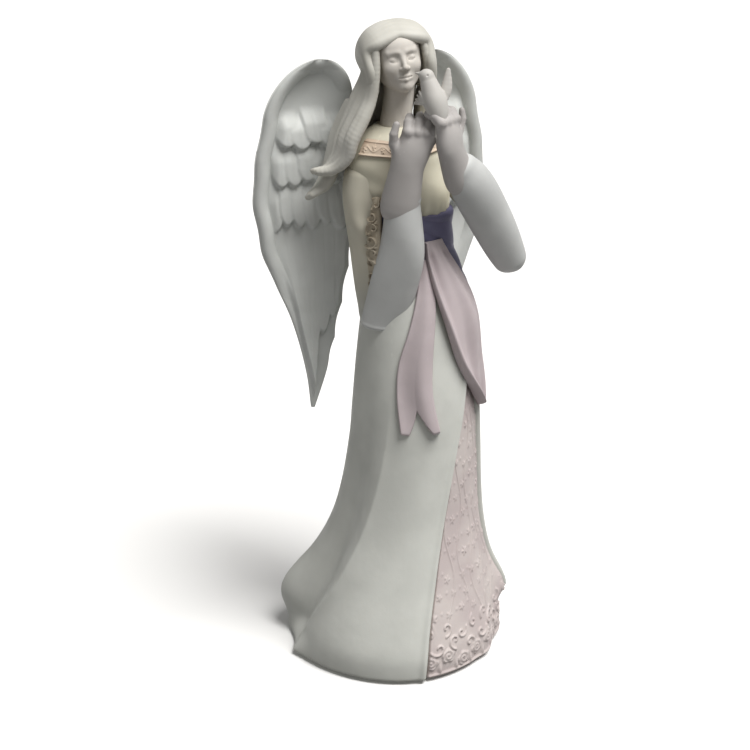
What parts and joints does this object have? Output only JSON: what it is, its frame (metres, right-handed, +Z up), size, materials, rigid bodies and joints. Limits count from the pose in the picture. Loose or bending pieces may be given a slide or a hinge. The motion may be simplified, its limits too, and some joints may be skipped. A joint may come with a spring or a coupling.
{
  "type": "resin angel figurine",
  "caption": "Standing robed angel figurine with raised wings, hands lifted to hold a small dove to her face, on a flared skirt base.",
  "frame": {"origin": "centre of the round base, on the surface the figurine stands on", "axes": "+Z up; the figure faces -Y, so her right hand is on the -X side and the wings are behind her on the +Y side"},
  "size_m": [0.1018, 0.0925, 0.26],
  "materials": {
    "bisque_white": "painted cast resin with a matte bisque surface, cool greenish white",
    "cream": "painted cast resin, matte warm cream",
    "pink_lace": "painted cast resin in low relief, matte dusty pink",
    "gold_lace": "painted cast resin in low relief, antique gold wash",
    "lilac": "painted cast resin, matte lilac pink",
    "violet": "painted cast resin, matte slate violet",
    "skin": "painted cast resin, matte pale skin",
    "hair": "painted cast resin, matte pale blonde wash over white",
    "felt": "short-pile grey-green felt, glued on"
  },
  "bodies": {
    "root": {"skirt": "bisque_white", "lace_panel": "pink_lace", "felt_pad": "felt", "bodice": "cream", "waist_sash": "violet", "sash_drape": "lilac", "sash_ribbon": "lilac", "right_upper_sleeve": "cream", "right_bell_sleeve": "bisque_white", "right_cuff_lace": "gold_lace", "left_upper_sleeve": "cream", "left_bell_sleeve": "bisque_white", "left_cuff_lace": "gold_lace", "right_hand": "skin", "left_hand": "skin", "dove": "bisque_white", "head": "skin", "hair": "hair", "right_hair_lock": "hair", "left_hair_lock": "hair", "neckline_lace": "pink_lace", "left_wing": "bisque_white", "right_wing": "bisque_white"}
  },
  "joints": []
}
